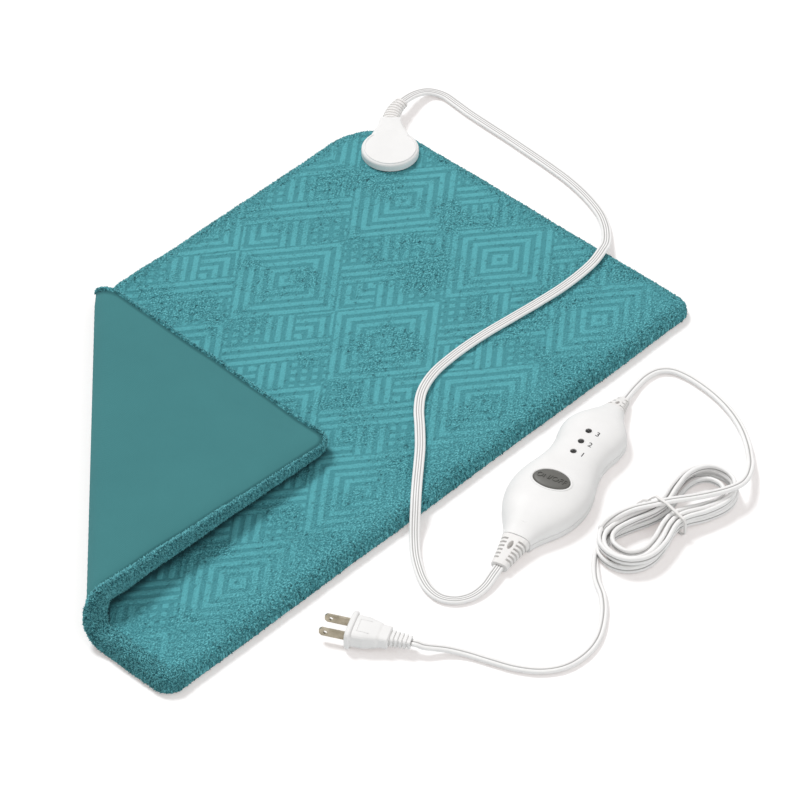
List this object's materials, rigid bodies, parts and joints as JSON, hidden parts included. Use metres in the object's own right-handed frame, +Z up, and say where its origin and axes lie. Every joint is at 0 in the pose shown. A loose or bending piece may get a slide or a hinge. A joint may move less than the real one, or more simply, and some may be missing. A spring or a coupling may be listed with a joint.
{
  "type": "heating pad",
  "caption": "Rectangular plush heating pad with a folded corner, a corner connector, an inline push-button controller with indicator lamps, and a mains cord in a tied hank with a plug.",
  "frame": {"origin": "bottom centre of the bounding box of the pad, its connector and the controller, without the cords, hank and plug", "axes": "+X along the pad's long side towards the connector's end, +Y along its short side away from the controller, +Z up from the surface the pad lies on"},
  "size_m": [0.5674, 0.4731, 0.031],
  "materials": {
    "pad_plush_cover": "plush",
    "pad_backing_cover": "smooth cloth",
    "heating_element_carrier": "felt",
    "heating_wire": "insulated wire",
    "connector_top_shell": "satin white",
    "connector_bottom_shell": "satin white",
    "connector_strain_relief": "satin white",
    "connector_screw_1": "brushed",
    "connector_screw_2": "brushed",
    "pad_terminal_block": "dark",
    "controller_top_shell": "satin white",
    "controller_bottom_shell": "satin white",
    "circuit_board": "laminate",
    "power_button": "satin",
    "push_switch_body": "dark",
    "push_switch_plunger": "dark",
    "controller_lower_strain_relief": "satin white",
    "controller_upper_strain_relief": "satin white",
    "led_high": "dark",
    "led_medium": "dark",
    "led_low": "dark",
    "controller_screw_1": "brushed",
    "controller_screw_2": "brushed",
    "power_triac": "dark",
    "pad_cord_terminal": "dark",
    "control_chip": "dark",
    "mains_terminal": "dark",
    "smoothing_capacitor": "satin",
    "fuse": "satin",
    "pad_cord": "satin white",
    "mains_cord_lead": "satin white",
    "mains_cord_tail": "satin white",
    "mains_cord_hank": "satin white",
    "hank_tie": "satin white",
    "plug_body": "satin white",
    "plug_blade_1": "brushed",
    "plug_blade_2": "brushed"
  },
  "bodies": {
    "pad_and_controller": {"pad_plush_cover": "pad_plush_cover", "pad_backing_cover": "pad_backing_cover", "heating_element_carrier": "heating_element_carrier", "heating_wire": "heating_wire", "connector_top_shell": "connector_top_shell", "connector_bottom_shell": "connector_bottom_shell", "connector_strain_relief": "connector_strain_relief", "connector_screw_1": "connector_screw_1", "connector_screw_2": "connector_screw_2", "pad_terminal_block": "pad_terminal_block", "controller_top_shell": "controller_top_shell", "controller_bottom_shell": "controller_bottom_shell", "circuit_board": "circuit_board", "push_switch_body": "push_switch_body", "controller_lower_strain_relief": "controller_lower_strain_relief", "controller_upper_strain_relief": "controller_upper_strain_relief", "led_high": "led_high", "led_medium": "led_medium", "led_low": "led_low", "controller_screw_1": "controller_screw_1", "controller_screw_2": "controller_screw_2", "power_triac": "power_triac", "pad_cord_terminal": "pad_cord_terminal", "control_chip": "control_chip", "mains_terminal": "mains_terminal", "smoothing_capacitor": "smoothing_capacitor", "fuse": "fuse", "pad_cord": "pad_cord", "mains_cord_lead": "mains_cord_lead", "mains_cord_tail": "mains_cord_tail", "mains_cord_hank": "mains_cord_hank", "hank_tie": "hank_tie", "plug_body": "plug_body", "plug_blade_1": "plug_blade_1", "plug_blade_2": "plug_blade_2"},
    "power_button": {"power_button": "power_button"},
    "push_switch_plunger": {"push_switch_plunger": "push_switch_plunger"}
  },
  "joints": [
    {"name": "power_button_press", "type": "slide", "parent": "pad_and_controller", "child": "power_button", "axis": [0, 0, -1], "range_m": [0, 0.0008], "stiffness_N_per_m": 800, "springref_m": -0.0006},
    {"name": "push_switch_press", "type": "slide", "parent": "pad_and_controller", "child": "push_switch_plunger", "axis": [0, 0, -1], "range_m": [0, 0.0008]}
  ],
  "couplings": [
    {"joint": "push_switch_press", "follows": "power_button_press", "ratio": 1}
  ]
}
